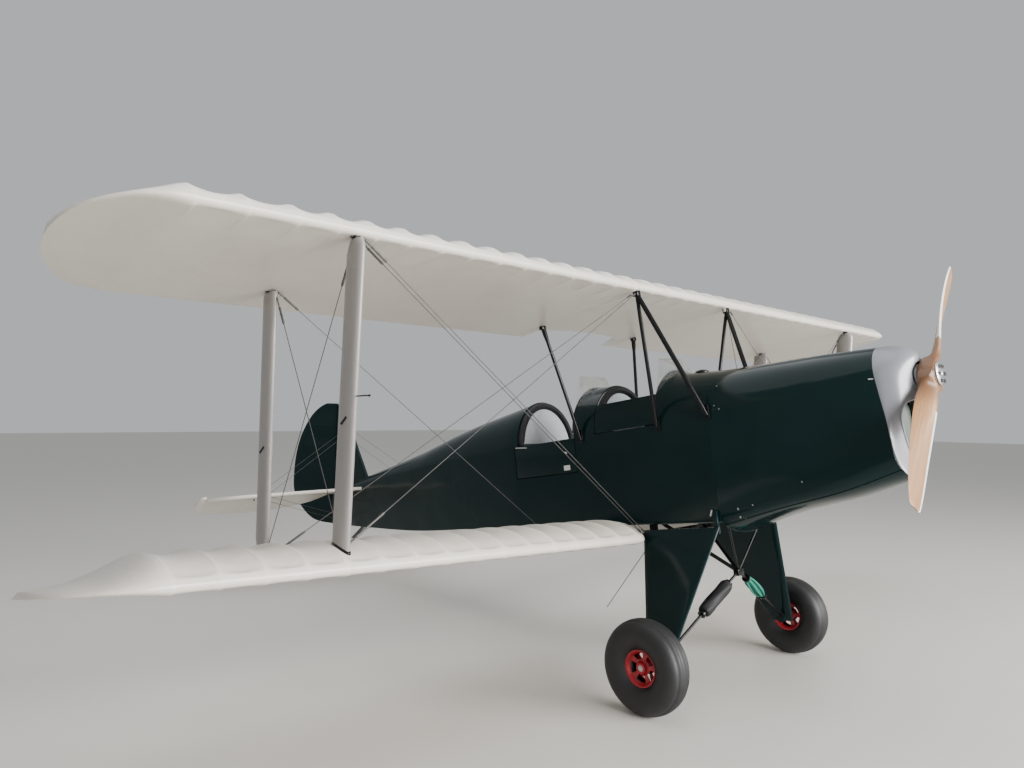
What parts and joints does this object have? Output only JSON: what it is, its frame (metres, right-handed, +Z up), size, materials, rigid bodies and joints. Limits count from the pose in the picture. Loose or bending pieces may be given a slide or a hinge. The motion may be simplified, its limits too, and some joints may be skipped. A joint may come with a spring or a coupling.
{
  "type": "two-seat open-cockpit biplane",
  "caption": "Light open-cockpit biplane with tandem seats, fabric wings, a two-blade wooden propeller and a tailwheel gear, parked on its wheels.",
  "frame": {"origin": "on the floor, midway along the parked length and on the centre plane", "axes": "+X forward, +Y to port, +Z up, parked nose-up on its three wheels"},
  "size_m": [6.9782, 7.69, 2.6485],
  "materials": {
    "dark_green": "high gloss, very dark bottle green",
    "silver_grey": "satin silver-grey paint",
    "cream_fabric": "doped fabric, satin, sagging between ribs",
    "strut_grey": "satin warm grey paint",
    "black_steel": "gloss black paint on steel tube",
    "bare_steel": "bright steel",
    "engine_metal": "dark cast metal",
    "propeller_wood": "varnished laminated wood",
    "clear_screen": "clear sheet",
    "grey_felt": "mottled grey felt",
    "black_leather": "black padded trim",
    "tyre_rubber": "matt black rubber",
    "hub_red": "dark red plastic"
  },
  "bodies": {
    "airframe": {"fuselage_tub": "dark_green", "front_deck": "dark_green", "mid_deck": "dark_green", "rear_fuselage": "dark_green", "engine_hood": "dark_green", "belly_tray": "dark_green", "nose_bowl": "silver_grey", "engine_block": "engine_metal", "windscreen_front": "clear_screen", "windscreen_rear": "clear_screen", "seat_cushion_front": "grey_felt", "seat_cushion_rear": "grey_felt", "control_columns": "black_steel", "upper_wing_centre": "cream_fabric", "upper_wing_right": "cream_fabric", "upper_wing_left": "cream_fabric", "lower_wing_right": "cream_fabric", "lower_wing_left": "cream_fabric", "spar_tube_front": "bare_steel", "spar_tube_rear": "bare_steel", "strut_front_right": "strut_grey", "strut_front_left": "strut_grey", "strut_rear_right": "strut_grey", "strut_rear_left": "strut_grey", "cabane_front_right": "black_steel", "cabane_front_left": "black_steel", "cabane_rear_right": "black_steel", "cabane_rear_left": "black_steel", "flying_stays_front_right": "bare_steel", "flying_stays_front_left": "bare_steel", "flying_stay_rear_right": "bare_steel", "flying_stay_rear_left": "bare_steel", "landing_stay_front_right": "bare_steel", "landing_stay_front_left": "bare_steel", "landing_stay_rear_right": "bare_steel", "landing_stay_rear_left": "bare_steel", "gear_pyramid": "black_steel", "gear_leg_right": "dark_green", "gear_leg_left": "dark_green", "shock_strut_right": "black_steel", "shock_strut_left": "black_steel", "tail_spring": "bare_steel", "tailplane": "cream_fabric", "fin": "dark_green"},
    "propeller": {"propeller": "propeller_wood", "propeller_hub_plate": "bare_steel"},
    "wheel_right": {"tyre_right": "tyre_rubber", "wheel_hub_right": "hub_red"},
    "wheel_left": {"tyre_left": "tyre_rubber", "wheel_hub_left": "hub_red"},
    "tail_fork": {"tail_fork": "black_steel"},
    "tail_wheel": {"tail_wheel": "tyre_rubber"},
    "rudder": {"rudder": "dark_green"},
    "elevator": {"elevator": "cream_fabric"},
    "aileron_right": {"aileron_right": "cream_fabric"},
    "aileron_left": {"aileron_left": "cream_fabric"},
    "front_door": {"front_door": "dark_green"},
    "rear_door": {"rear_door": "dark_green"}
  },
  "joints": [
    {"name": "propeller_spin", "type": "hinge", "parent": "airframe", "child": "propeller", "pos_m": [3.35571, 0, 1.96021], "axis": [0.9888, 0, 0.149], "continuous": true},
    {"name": "wheel_right_spin", "type": "hinge", "parent": "airframe", "child": "wheel_right", "pos_m": [2.1052, -0.881, 0.273], "axis": [0, 1, 0], "continuous": true},
    {"name": "wheel_left_spin", "type": "hinge", "parent": "airframe", "child": "wheel_left", "pos_m": [2.1052, 0.881, 0.273], "axis": [0, 1, 0], "continuous": true},
    {"name": "tail_swivel", "type": "hinge", "parent": "airframe", "child": "tail_fork", "pos_m": [-2.60111, 0, 0.19082], "axis": [0.0091, 0, 1], "range_deg": [-35, 35]},
    {"name": "tail_wheel_spin", "type": "hinge", "parent": "tail_fork", "child": "tail_wheel", "pos_m": [-2.61804, 0, 0.075], "axis": [0, 1, 0], "continuous": true},
    {"name": "rudder_hinge", "type": "hinge", "parent": "airframe", "child": "rudder", "pos_m": [-2.89546, 0, 0.84208], "axis": [0.0314, 0, 0.9995], "range_deg": [-45.5, 10.5]},
    {"name": "elevator_hinge", "type": "hinge", "parent": "airframe", "child": "elevator", "pos_m": [-2.82207, 0, 0.82483], "axis": [0, 1, 0], "range_deg": [0, 43]},
    {"name": "aileron_right_hinge", "type": "hinge", "parent": "airframe", "child": "aileron_right", "pos_m": [0.84516, -1.75, 0.8163], "axis": [0.0061, 0.9992, -0.0402], "range_deg": [-12, 28]},
    {"name": "aileron_left_hinge", "type": "hinge", "parent": "airframe", "child": "aileron_left", "pos_m": [0.84516, 1.75, 0.8163], "axis": [-0.0061, 0.9992, 0.0402], "range_deg": [-28, 12]},
    {"name": "front_door_hinge", "type": "hinge", "parent": "airframe", "child": "front_door", "pos_m": [1.50619, -0.339, 1.62381], "axis": [0.9888, 0, 0.149], "range_deg": [0, 150]},
    {"name": "rear_door_hinge", "type": "hinge", "parent": "airframe", "child": "rear_door", "pos_m": [0.76747, -0.339, 1.25459], "axis": [0.9888, 0, 0.149], "range_deg": [0, 150]}
  ],
  "couplings": [
    {"joint": "aileron_left_hinge", "follows": "aileron_right_hinge", "ratio": -1}
  ]
}
